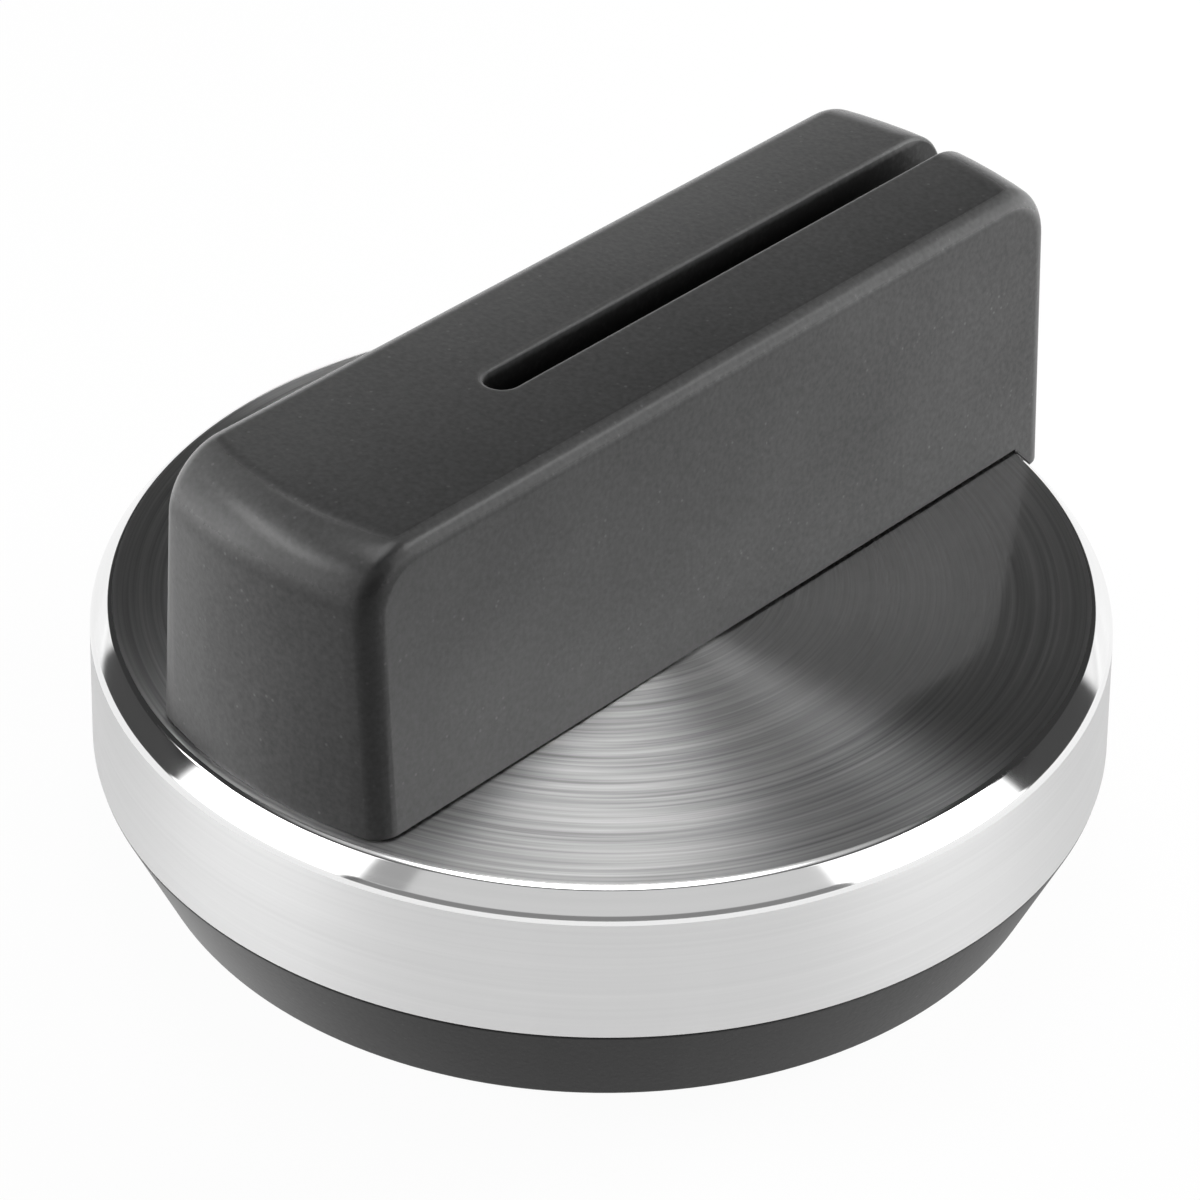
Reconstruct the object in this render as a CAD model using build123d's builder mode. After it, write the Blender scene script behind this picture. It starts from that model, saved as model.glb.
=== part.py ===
"""Burner knob for a gas hob: a moulded grip bar, a turned metal cap and a moulded base.

The origin is on the spindle axis, in the plane of the base's lower rim. +Z points away from the
hob and +Y towards the pointer end of the grip bar. All sizes are in millimetres and degrees.
"""

import os
from math import radians, sqrt, tan

from build123d import *

# Base moulding: a skirt that widens up to the cap, a deck, ribs and the hub for the spindle.
base_rim_radius = 22.8
base_rim_width = 2.2
base_rim_fillet = 0.4
base_skirt_height = 5.65
base_core_draft = 2.0
base_deck_thickness = 2.4
rib_count = 4
rib_angle = 45
rib_thickness = 1.5
rib_gap = 0.4
hub_radius = 6.5
hub_recess = 1.0
hub_draft = 1.0
deck_root_fillet = 0.8
column_radius = 4.6
column_height = 5.6
column_chamfer = 0.6

# Metal cap: a turned cup with a bevelled face and a skirt that flares a little towards its foot.
cap_face_radius = 24.1
cap_face_thickness = 2.0
cap_bevel_width = 1.0
cap_bevel_height = 1.2
cap_bevel_fillet = 0.8
cap_skirt_height = 6.75
cap_skirt_flare = 0.2
cap_wall = 1.6
cap_inner_fillet = 0.8

# Grip bar: drafted sides, ends concentric with the cap, and a lip over the bevel at the nose.
grip_height = 14.8
grip_width = 15.0
grip_side_draft = 3.5
grip_tail_radius = 23.65
grip_tail_draft = 2.0
grip_nose_radius = 26.2
grip_nose_draft = 0.4
grip_lip_drop = 1.33
grip_end_fillet = 3.1
grip_edge_fillet = 1.0
grip_wall = 2.2
grip_roof = 2.2
foot_relief_height = 0.15
foot_relief_depth = 0.5
groove_width = 1.8
groove_depth = 3.0
groove_tail = 7.9
groove_edge_fillet = 0.3
web_thickness = 1.6
boss_radius = 3.1
boss_rib_thickness = 1.2

# Socket for the valve spindle, with its flat on the tail side.
spindle_radius = 3.0
spindle_flat = 1.5
socket_depth = 16.0
lead_in_radius = 3.3
lead_in_depth = 4.0

# Steel ring pressed round the mouth of the hub.
ring_width = 3.2
ring_thickness = 0.8
ring_chamfer = 0.2

# Leaf spring beside the flat of the spindle.
spring_thickness = 0.4
spring_width = 3.6
spring_length = 9.0
spring_bow = 0.65

# Pan head screws, from below through the base and the cap into the grip.
screw_spacing = 27.0
screw_radius = 1.45
screw_length = 13.0
screw_tip_length = 1.2
screw_tip_radius = 0.5
screw_head_radius = 2.8
screw_head_height = 2.2
screw_head_fillet = 1.2
screw_recess_span = 3.2
screw_recess_width = 0.9
screw_recess_depth = 1.3
screw_pad_radius = 3.8
screw_pad_height = 0.6
screw_bore_extra = 0.8

# Clearances between neighbouring pieces.
cap_clearance = 0.1
foot_clearance = 0.05
column_clearance = 0.15
screw_clearance = 0.25
thread_clearance = 0.02
lip_clearance = 0.15
ring_clearance = 0.02
spindle_clearance = 0.05
spring_clearance = 0.1

# Radii and heights that follow from the sizes above.
cap_edge_radius = cap_face_radius + cap_bevel_width
cap_foot_radius = cap_edge_radius + cap_skirt_flare
cap_inner_radius = cap_edge_radius - cap_wall
cap_foot_z = base_skirt_height + foot_clearance
cap_edge_z = base_skirt_height + cap_skirt_height
cap_face_z = cap_edge_z + cap_bevel_height
deck_top_z = cap_face_z - cap_face_thickness
deck_under_z = deck_top_z - base_deck_thickness
spigot_radius = cap_inner_radius - cap_clearance
core_mouth_radius = base_rim_radius - base_rim_width
core_root_radius = core_mouth_radius - deck_under_z * tan(radians(base_core_draft))
ring_seat_radius = hub_radius - ring_thickness
ring_top_z = hub_recess + ring_width
rib_foot_z = ring_top_z + rib_gap
hub_root_radius = hub_radius + (deck_under_z - ring_top_z) * tan(radians(hub_draft))
column_top_z = cap_face_z + column_height
socket_radius = spindle_radius + spindle_clearance
socket_flat = spindle_flat + spindle_clearance
socket_top_z = hub_recess + socket_depth
spring_seat_y = -(spindle_flat + spring_bow + spring_thickness)
spring_face_y = spring_seat_y + spring_thickness
spring_foot_z = hub_recess + lead_in_depth + spring_clearance
spring_mid_z = spring_foot_z + spring_length / 2
spring_top_z = spring_foot_z + spring_length
screw_seat_z = deck_under_z - screw_pad_height
screw_tip_z = screw_seat_z + screw_length
grip_top_z = cap_face_z + grip_height
lip_z = cap_face_z - grip_lip_drop
groove_side = groove_width / 2
groove_round_y = groove_side - groove_tail
pocket_top_z = grip_top_z - groove_depth - grip_roof
web_y = column_radius + column_clearance
boss_rib_length = grip_tail_radius - grip_wall / 2 - web_y


def bar_outline(width, tail_radius, nose_radius):
    """Outline of the bar: straight sides, and ends that are arcs about the spindle axis."""
    half = width / 2
    tail_y = -sqrt(tail_radius**2 - half**2)
    nose_y = sqrt(nose_radius**2 - half**2)
    with BuildSketch() as outline:
        with BuildLine():
            Line((-half, tail_y), (-half, nose_y))
            ThreePointArc((-half, nose_y), (0, nose_radius), (half, nose_y))
            Line((half, nose_y), (half, tail_y))
            ThreePointArc((half, tail_y), (0, -tail_radius), (-half, tail_y))
        make_face()
    return outline.sketch


def grip_section(z, inset=0.0, foot_nose_radius=grip_nose_radius):
    """Outline of the grip bar at a height z, from its drafts, moved inwards by an inset."""
    rise = z - cap_face_z
    width = grip_width - 2 * rise * tan(radians(grip_side_draft))
    tail_radius = grip_tail_radius - rise * tan(radians(grip_tail_draft))
    nose_radius = foot_nose_radius - rise * tan(radians(grip_nose_draft))
    return bar_outline(width - 2 * inset, tail_radius - inset, nose_radius - inset)


# Base: one turned section, then ribs, screw pads and the socket.
with BuildPart() as base:
    with BuildSketch(Plane.XZ) as base_section:
        with BuildLine():
            Polyline(
                (base_rim_radius, 0),
                (cap_foot_radius, base_skirt_height),
                (spigot_radius, base_skirt_height),
                (spigot_radius, deck_top_z - cap_inner_fillet),
                (spigot_radius - cap_inner_fillet, deck_top_z),
                (column_radius, deck_top_z),
                (column_radius, column_top_z - column_chamfer),
                (column_radius - column_chamfer, column_top_z),
                (0, column_top_z),
                (0, hub_recess),
                (ring_seat_radius, hub_recess),
                (ring_seat_radius, ring_top_z),
                (hub_radius, ring_top_z),
                (hub_root_radius, deck_under_z),
                (core_root_radius, deck_under_z),
                (core_mouth_radius, 0),
                close=True,
            )
        make_face()
        rim_corners = base_section.vertices().group_by(Axis.Y)[0]
        fillet(rim_corners, base_rim_fillet)
        for root_radius in (hub_root_radius, core_root_radius):
            root_corner = base_section.vertices().sort_by_distance((root_radius, deck_under_z))[0]
            fillet(root_corner, deck_root_fillet)
    revolve(axis=Axis.Z)
    with BuildSketch(Plane.XY.offset(rib_foot_z)):
        with PolarLocations((hub_radius + core_root_radius) / 2, rib_count, rib_angle):
            Rectangle(core_root_radius - hub_radius + rib_thickness, rib_thickness)
    extrude(amount=deck_under_z - rib_foot_z)
    with BuildSketch(Plane.XY.offset(deck_under_z)):
        with GridLocations(0, screw_spacing, 1, 2):
            Circle(screw_pad_radius)
    extrude(amount=-screw_pad_height)
    with BuildSketch(Plane.XY.offset(screw_seat_z)):
        with GridLocations(0, screw_spacing, 1, 2):
            Circle(screw_radius + screw_clearance)
    extrude(amount=deck_top_z - screw_seat_z, mode=Mode.SUBTRACT)
    with BuildSketch(Plane.XY.offset(hub_recess)):
        Circle(lead_in_radius)
    extrude(amount=lead_in_depth, mode=Mode.SUBTRACT)
    with BuildSketch(Plane.XY.offset(hub_recess)):
        Circle(socket_radius)
        with Locations((0, -socket_flat)):
            Rectangle(
                2 * socket_radius,
                socket_radius,
                align=(Align.CENTER, Align.MAX),
                mode=Mode.SUBTRACT,
            )
            Rectangle(
                spring_width + 2 * spring_clearance,
                -spring_seat_y - socket_flat,
                align=(Align.CENTER, Align.MAX),
            )
    extrude(amount=socket_depth, mode=Mode.SUBTRACT)

# Cap: a turned cup with a hole for the column and two for the screws.
with BuildPart() as cap:
    with BuildSketch(Plane.XZ) as cap_section:
        with BuildLine():
            Polyline(
                (0, cap_face_z),
                (cap_face_radius, cap_face_z),
                (cap_edge_radius, cap_edge_z),
                (cap_foot_radius, cap_foot_z),
                (cap_inner_radius, cap_foot_z),
                (cap_inner_radius, deck_top_z),
                (0, deck_top_z),
                close=True,
            )
        make_face()
        inner_corner = cap_section.vertices().sort_by_distance((cap_inner_radius, deck_top_z))[0]
        fillet(inner_corner, cap_inner_fillet)
        for bevel_corner in ((cap_face_radius, cap_face_z), (cap_edge_radius, cap_edge_z)):
            fillet(cap_section.vertices().sort_by_distance(bevel_corner)[0], cap_bevel_fillet)
    revolve(axis=Axis.Z)
    with BuildSketch(Plane.XY.offset(deck_top_z)):
        Circle(column_radius + column_clearance)
        with GridLocations(0, screw_spacing, 1, 2):
            Circle(screw_radius + screw_clearance)
    extrude(amount=cap_face_thickness, mode=Mode.SUBTRACT)

# Grip: a drafted block with rounded ends, then its seat, groove, hollow and bosses.
with BuildPart() as grip:
    for z in (lip_z, grip_top_z):
        with BuildSketch(Plane.XY.offset(z)):
            add(grip_section(z))
    loft()
    end_edges = grip.edges().group_by(Axis.Z)[-1].filter_by(GeomType.LINE, reverse=True)
    fillet(end_edges, grip_end_fillet)
    flank_edges = grip.edges().filter_by(lambda edge: abs(edge.center().X) > grip_width / 4)
    fillet(flank_edges - grip.edges().group_by(Axis.Z)[0], grip_edge_fillet)
    with BuildSketch(Plane.XZ):
        with BuildLine():
            Polyline(
                (0, cap_face_z),
                (cap_face_radius + lip_clearance, cap_face_z),
                (cap_edge_radius + lip_clearance, cap_edge_z),
                (cap_edge_radius + lip_clearance, lip_z),
                (0, lip_z),
                close=True,
            )
        make_face()
    revolve(axis=Axis.Z, mode=Mode.SUBTRACT)
    with BuildSketch(Plane.XY.offset(cap_face_z)):
        Circle(cap_face_radius)
        add(grip_section(cap_face_z, foot_relief_depth), mode=Mode.SUBTRACT)
    extrude(amount=foot_relief_height, mode=Mode.SUBTRACT)
    with BuildSketch(Plane.XY.offset(grip_top_z)):
        with BuildLine():
            Line((groove_side, grip_nose_radius), (groove_side, groove_round_y))
            ThreePointArc(
                (groove_side, groove_round_y),
                (0, -groove_tail),
                (-groove_side, groove_round_y),
            )
            Line((-groove_side, groove_round_y), (-groove_side, grip_nose_radius))
            Line((-groove_side, grip_nose_radius), (groove_side, grip_nose_radius))
        make_face()
    extrude(amount=-groove_depth, mode=Mode.SUBTRACT)
    groove_edges = grip.edges().group_by(Axis.Z)[-1].filter_by(
        lambda edge: abs(edge.center().X) < groove_width
    )
    fillet(groove_edges, groove_edge_fillet)
    for z in (cap_face_z, pocket_top_z):
        with BuildSketch(Plane.XY.offset(z)):
            add(grip_section(z, grip_wall, cap_face_radius))
    loft(mode=Mode.SUBTRACT)
    with BuildSketch(Plane.XY.offset(cap_face_z)):
        with GridLocations(0, 2 * web_y + web_thickness, 1, 2):
            Rectangle(grip_width - grip_wall, web_thickness)
        with GridLocations(0, 2 * web_y + boss_rib_length, 1, 2):
            Rectangle(boss_rib_thickness, boss_rib_length)
        with GridLocations(0, screw_spacing, 1, 2):
            Circle(boss_radius)
    extrude(amount=pocket_top_z - cap_face_z)
    with BuildSketch(Plane.XY.offset(cap_face_z)):
        with GridLocations(0, screw_spacing, 1, 2):
            Circle(screw_radius + thread_clearance)
    extrude(amount=screw_tip_z + screw_bore_extra - cap_face_z, mode=Mode.SUBTRACT)

# Ring: a short steel tube with broken edges.
with BuildPart() as hub_ring:
    with BuildSketch(Plane.XY.offset(hub_recess)):
        Circle(hub_radius)
        Circle(ring_seat_radius + ring_clearance, mode=Mode.SUBTRACT)
    extrude(amount=ring_width)
    outer_rims = hub_ring.edges().filter_by(GeomType.CIRCLE).group_by(SortBy.RADIUS)[-1]
    chamfer(outer_rims, ring_chamfer)

# Spring: a bowed strip whose ends rest on the floor of its pocket.
with BuildPart() as spindle_spring:
    with BuildSketch(Plane.YZ):
        with BuildLine():
            ThreePointArc(
                (spring_seat_y, spring_foot_z),
                (spring_seat_y + spring_bow, spring_mid_z),
                (spring_seat_y, spring_top_z),
            )
            Line((spring_seat_y, spring_top_z), (spring_face_y, spring_top_z))
            ThreePointArc(
                (spring_face_y, spring_top_z),
                (spring_face_y + spring_bow, spring_mid_z),
                (spring_face_y, spring_foot_z),
            )
            Line((spring_face_y, spring_foot_z), (spring_seat_y, spring_foot_z))
        make_face()
    extrude(amount=spring_width / 2, both=True)

# Screw: pan head with a cross recess, plain shank and a turned tip.
with BuildPart() as screw:
    with BuildSketch(Plane.XZ) as screw_section:
        with BuildLine():
            Polyline(
                (0, screw_seat_z - screw_head_height),
                (screw_head_radius, screw_seat_z - screw_head_height),
                (screw_head_radius, screw_seat_z),
                (screw_radius, screw_seat_z),
                (screw_radius, screw_tip_z - screw_tip_length),
                (screw_tip_radius, screw_tip_z),
                (0, screw_tip_z),
                close=True,
            )
        make_face()
        head_corner = screw_section.vertices().group_by(Axis.Y)[0].sort_by(Axis.X)[-1]
        fillet(head_corner, screw_head_fillet)
    revolve(axis=Axis.Z)
    with BuildSketch(Plane.XY.offset(screw_seat_z - screw_head_height)):
        Rectangle(screw_recess_span, screw_recess_width)
        Rectangle(screw_recess_width, screw_recess_span)
    extrude(amount=screw_recess_depth, mode=Mode.SUBTRACT)

base.part.label = "base"
cap.part.label = "cap"
grip.part.label = "grip"
hub_ring.part.label = "hub_ring"
spindle_spring.part.label = "spindle_spring"

os.makedirs("parts", exist_ok=True)
for piece in (base, cap, grip, hub_ring, spindle_spring):
    export_step(piece.part, f"parts/{piece.part.label}.step")
for name, y in (("screw_tail", -screw_spacing / 2), ("screw_nose", screw_spacing / 2)):
    placed_screw = screw.part.moved(Location((0, y, 0)))
    placed_screw.label = name
    export_step(placed_screw, f"parts/{name}.step")
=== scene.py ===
"""Finished surfaces of a burner knob: grip bar, spun metal cap, moulded base and the fittings under it.

Lengths are in millimetres while a mesh is being made and in metres once it is a piece.
"""

import logging
import math
from collections.abc import Callable, Sequence
from dataclasses import dataclass, field
from enum import Enum

import bmesh
import bpy
from mathutils import Matrix, Vector


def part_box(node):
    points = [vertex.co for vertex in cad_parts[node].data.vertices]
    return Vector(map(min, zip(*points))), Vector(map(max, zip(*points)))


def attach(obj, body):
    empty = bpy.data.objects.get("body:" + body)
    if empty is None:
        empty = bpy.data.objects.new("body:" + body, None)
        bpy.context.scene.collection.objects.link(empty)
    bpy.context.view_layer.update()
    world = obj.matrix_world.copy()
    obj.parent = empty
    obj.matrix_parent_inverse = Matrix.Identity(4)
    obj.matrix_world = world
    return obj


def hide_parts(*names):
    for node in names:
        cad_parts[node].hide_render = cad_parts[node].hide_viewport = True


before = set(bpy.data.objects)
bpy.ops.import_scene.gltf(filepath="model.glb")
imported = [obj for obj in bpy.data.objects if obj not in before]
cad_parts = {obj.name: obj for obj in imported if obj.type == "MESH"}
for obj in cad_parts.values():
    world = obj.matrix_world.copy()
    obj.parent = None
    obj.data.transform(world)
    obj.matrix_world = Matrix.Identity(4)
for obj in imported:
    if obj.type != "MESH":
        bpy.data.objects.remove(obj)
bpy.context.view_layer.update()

MM = 0.001
BODY = "root"
MERGE_DISTANCE = 0.0005
PAST = 1.0  # how far a cutting tool reaches past what it cuts
SHARP_ANGLE = math.radians(32)
NEARLY_FLAT = math.radians(0.01)
FLATS_WEIGHT = 80
log = logging.getLogger("knob")

Point = tuple[float, float]
EdgeTest = Callable[[bmesh.types.BMEdge], bool]


class Joining(Enum):
    """How one closed mesh is joined to another."""

    ADD = "UNION"
    CUT = "DIFFERENCE"


# ---------------------------------------------------------------- meshes


class Solid:
    """A closed mesh under construction, in millimetres."""

    def __init__(self, mesh: bmesh.types.BMesh | None = None) -> None:
        """Start from a bmesh, or from an empty one."""
        self.mesh = mesh or bmesh.new()

    @classmethod
    def lathe(cls, section: Sequence[Point], steps: int, closed: bool = True) -> "Solid":
        """Turn a section about the Z axis.

        Args:
            section: (radius, height) of each corner, in order.
            steps: faces round the full turn.
            closed: whether the last corner joins the first; otherwise both ends lie on the axis.

        Returns:
            The turned solid.
        """
        solid = cls()
        verts = [solid.mesh.verts.new((radius, 0, height)) for radius, height in section]
        following = verts[1:] + verts[:1] if closed else verts[1:]
        edges = [solid.mesh.edges.new(pair) for pair in zip(verts, following)]
        bmesh.ops.spin(
            solid.mesh, geom=verts + edges, cent=(0, 0, 0), axis=(0, 0, 1), dvec=(0, 0, 0),
            angle=math.tau, steps=steps, use_merge=True, use_normal_flip=False, use_duplicate=False,
        )
        return solid.closed_up()

    @classmethod
    def loft(cls, lower: list[bmesh.types.BMEdge], upper: list[bmesh.types.BMEdge],
             mesh: bmesh.types.BMesh) -> "Solid":
        """Bridge two closed outlines of one mesh and fill both ends.

        Args:
            lower: edges of the lower outline.
            upper: edges of the upper outline.
            mesh: the mesh that holds both.

        Returns:
            The lofted solid.
        """
        bmesh.ops.bridge_loops(mesh, edges=lower + upper)
        bmesh.ops.contextual_create(mesh, geom=lower)
        bmesh.ops.contextual_create(mesh, geom=upper)
        return cls(mesh).closed_up()

    @classmethod
    def cylinder(cls, radius: float, low: float, high: float, centre: Point = (0, 0),
                 steps: int = 48) -> "Solid":
        """Make a round bar along Z.

        Args:
            radius: its radius.
            low: height of its lower end.
            high: height of its upper end.
            centre: where its axis crosses the XY plane.
            steps: faces round it.

        Returns:
            The bar.
        """
        solid = cls()
        bmesh.ops.create_cone(
            solid.mesh, cap_ends=True, segments=steps, radius1=radius, radius2=radius,
            depth=high - low, matrix=Matrix.Translation((*centre, (low + high) / 2)),
        )
        return solid

    @classmethod
    def block(cls, size: Sequence[float], centre: Sequence[float], turn: float = 0.0) -> "Solid":
        """Make a rectangular block.

        Args:
            size: its length along X, Y and Z.
            centre: its centre.
            turn: its turn about the Z axis through the origin, in radians.

        Returns:
            The block.
        """
        solid = cls()
        place = Matrix.Rotation(turn, 4, "Z") @ Matrix.Translation(centre) @ Matrix.Diagonal((*size, 1))
        bmesh.ops.create_cube(solid.mesh, size=1, matrix=place)
        return solid

    def closed_up(self) -> "Solid":
        """Merge doubled corners and turn every face outwards.

        Returns:
            This solid.
        """
        bmesh.ops.remove_doubles(self.mesh, verts=self.mesh.verts, dist=MERGE_DISTANCE)
        bmesh.ops.dissolve_degenerate(self.mesh, dist=MERGE_DISTANCE, edges=self.mesh.edges)
        bmesh.ops.recalc_face_normals(self.mesh, faces=self.mesh.faces)
        return self

    def rounded(self, chosen: EdgeTest, radius: float, segments: int) -> "Solid":
        """Round the chosen edges.

        Args:
            chosen: says which edges are rounded.
            radius: how far the rounding reaches into each face.
            segments: faces across it.

        Returns:
            This solid.
        """
        return self.round_edges([edge for edge in self.mesh.edges if chosen(edge)], radius, segments)

    def round_edges(self, edges: list[bmesh.types.BMEdge], radius: float, segments: int) -> "Solid":
        """Round these edges.

        Args:
            edges: the edges.
            radius: how far the rounding reaches into each face.
            segments: faces across it.

        Returns:
            This solid.
        """
        bmesh.ops.bevel(
            self.mesh, geom=edges, offset=radius, offset_type="OFFSET", segments=segments,
            profile=0.5, affect="EDGES", clamp_overlap=False, loop_slide=True, material=-1,
        )
        return self

    def joined(self, other: "Solid", joining: Joining) -> "Solid":
        """Join another solid to this one.

        Args:
            other: the solid to add or cut away; it is used up.
            joining: which of the two.

        Returns:
            The joined solid.
        """
        objects = []
        for part in (self, other):
            data = bpy.data.meshes.new("joining")
            part.mesh.to_mesh(data)
            part.mesh.free()
            objects.append(put_in_scene("joining", data))
        target, tool = objects
        modifier = target.modifiers.new("join", "BOOLEAN")
        modifier.operation = joining.value
        modifier.solver = "EXACT"
        modifier.object = tool
        bpy.context.view_layer.update()
        result = bmesh.new()
        result.from_object(target, bpy.context.evaluated_depsgraph_get())
        for holder in objects:
            data = holder.data
            bpy.data.objects.remove(holder)
            bpy.data.meshes.remove(data)
        bmesh.ops.remove_doubles(result, verts=result.verts, dist=MERGE_DISTANCE)
        return Solid(result)

    def plus(self, *others: "Solid") -> "Solid":
        """Add other solids, one after another.

        Args:
            others: the solids; they are used up.

        Returns:
            The whole.
        """
        whole = self
        for other in others:
            whole = whole.joined(other, Joining.ADD)
        return whole

    def minus(self, *others: "Solid") -> "Solid":
        """Cut other solids away, one after another.

        Args:
            others: the solids; they are used up.

        Returns:
            What is left.
        """
        whole = self
        for other in others:
            whole = whole.joined(other, Joining.CUT)
        return whole

    def piece(self, name: str, node: str, slot: str, finishes: Sequence[bpy.types.Material],
              zone: Callable[[bmesh.types.BMFace], int] | None = None) -> bpy.types.Object:
        """Write the solid out as a finished piece that stands for a CAD node.

        Args:
            name: the piece's name.
            node: the CAD node that it replaces.
            slot: not used.
            finishes: its materials.
            zone: gives the number of a face's material; the first is used where it is left out.

        Returns:
            The piece, riding on the knob's body.
        """
        for face in self.mesh.faces:
            face.material_index = zone(face) if zone else 0
            face.smooth = True
        bmesh.ops.scale(self.mesh, vec=(MM, MM, MM), verts=self.mesh.verts)
        data = bpy.data.meshes.new(name)
        self.mesh.to_mesh(data)
        self.mesh.free()
        data.set_sharp_from_angle(angle=SHARP_ANGLE)
        for finish in finishes:
            data.materials.append(finish)
        piece = put_in_scene(name, data)
        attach(piece, BODY)
        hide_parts(node)
        triangles = sum(len(polygon.vertices) - 2 for polygon in data.polygons)
        log.info("%s: %d triangles, stands for %s", name, triangles, node)
        return piece


def at_height(height: float, reach: float = 0.01) -> EdgeTest:
    """Choose the edges whose ends both lie at one height, within a reach."""
    return lambda edge: all(abs(vert.co.z - height) < reach for vert in edge.verts)


def on_ring(radius: float, height: float, reach: float = 0.02) -> EdgeTest:
    """Choose the edges of a turned solid that run round it at one corner of its section."""
    level = at_height(height, reach)
    return lambda edge: level(edge) and all(abs(vert.co.xy.length - radius) < reach for vert in edge.verts)


def put_in_scene(name: str, data: bpy.types.ID) -> bpy.types.Object:
    """Make an object of this data and link it to the scene.

    Args:
        name: the object's name.
        data: its mesh, lamp or camera.

    Returns:
        The object.
    """
    thing = bpy.data.objects.new(name, data)
    bpy.context.scene.collection.objects.link(thing)
    return thing


def keep_flats_flat(piece: bpy.types.Object) -> None:
    """Shade a piece by its large faces, so that small roundings don't tint them.

    Args:
        piece: the piece.
    """
    modifier = piece.modifiers.new("flats", "WEIGHTED_NORMAL")
    modifier.mode = "FACE_AREA"
    modifier.weight = FLATS_WEIGHT
    modifier.keep_sharp = True


# ---------------------------------------------------------------- shader maths


class Wire:
    """An output socket of numbers; arithmetic on it adds Math nodes."""

    def __init__(self, shader: "Shader", socket: bpy.types.NodeSocket) -> None:
        """Wrap a socket of a shader's tree."""
        self.shader = shader
        self.socket = socket

    def _maths(self, operation: str, first: "Wire | float", second: "Wire | float") -> "Wire":
        """Add one Math node on two values."""
        node = self.shader.node("ShaderNodeMath", {"operation": operation}, {0: first, 1: second})
        return Wire(self.shader, node.outputs[0])

    def __add__(self, other: "Wire | float") -> "Wire":
        """Sum."""
        return self._maths("ADD", self, other)

    def __radd__(self, other: float) -> "Wire":
        """Sum, with the number first."""
        return self._maths("ADD", other, self)

    def __sub__(self, other: "Wire | float") -> "Wire":
        """Difference."""
        return self._maths("SUBTRACT", self, other)

    def __rsub__(self, other: float) -> "Wire":
        """Difference, with the number first."""
        return self._maths("SUBTRACT", other, self)

    def __mul__(self, other: "Wire | float") -> "Wire":
        """Product."""
        return self._maths("MULTIPLY", self, other)

    def __rmul__(self, other: float) -> "Wire":
        """Product, with the number first."""
        return self._maths("MULTIPLY", other, self)

    def bearing_with(self, ahead: "Wire") -> "Wire":
        """Give the angle whose sine goes with this value and whose cosine goes with the other."""
        return self._maths("ARCTAN2", self, ahead)

    def capped(self, most: float) -> "Wire":
        """Keep the value no larger than a number."""
        return self._maths("MINIMUM", self, most)

    def slope(self) -> "Wire":
        """Give the angle whose sine this value is."""
        return self._maths("ARCSINE", self, 0.0)

    def between(self, low: float, high: float, edge: float) -> "Wire":
        """Give 1 between two angles and 0 outside them, with edges of a softness; all in degrees."""
        low, high, edge = math.radians(low), math.radians(high), math.radians(edge) / 2
        return self.eased(low - edge, low + edge) * (1 - self.eased(high - edge, high + edge))

    def eased(self, low: float, high: float) -> "Wire":
        """Rise smoothly from 0 at one value to 1 at another.

        Args:
            low: the value that gives 0.
            high: the value that gives 1.

        Returns:
            The eased value.
        """
        node = self.shader.node(
            "ShaderNodeMapRange", {"interpolation_type": "SMOOTHSTEP", "clamp": True},
            {"Value": self, "From Min": low, "From Max": high},
        )
        return Wire(self.shader, node.outputs["Result"])


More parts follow.
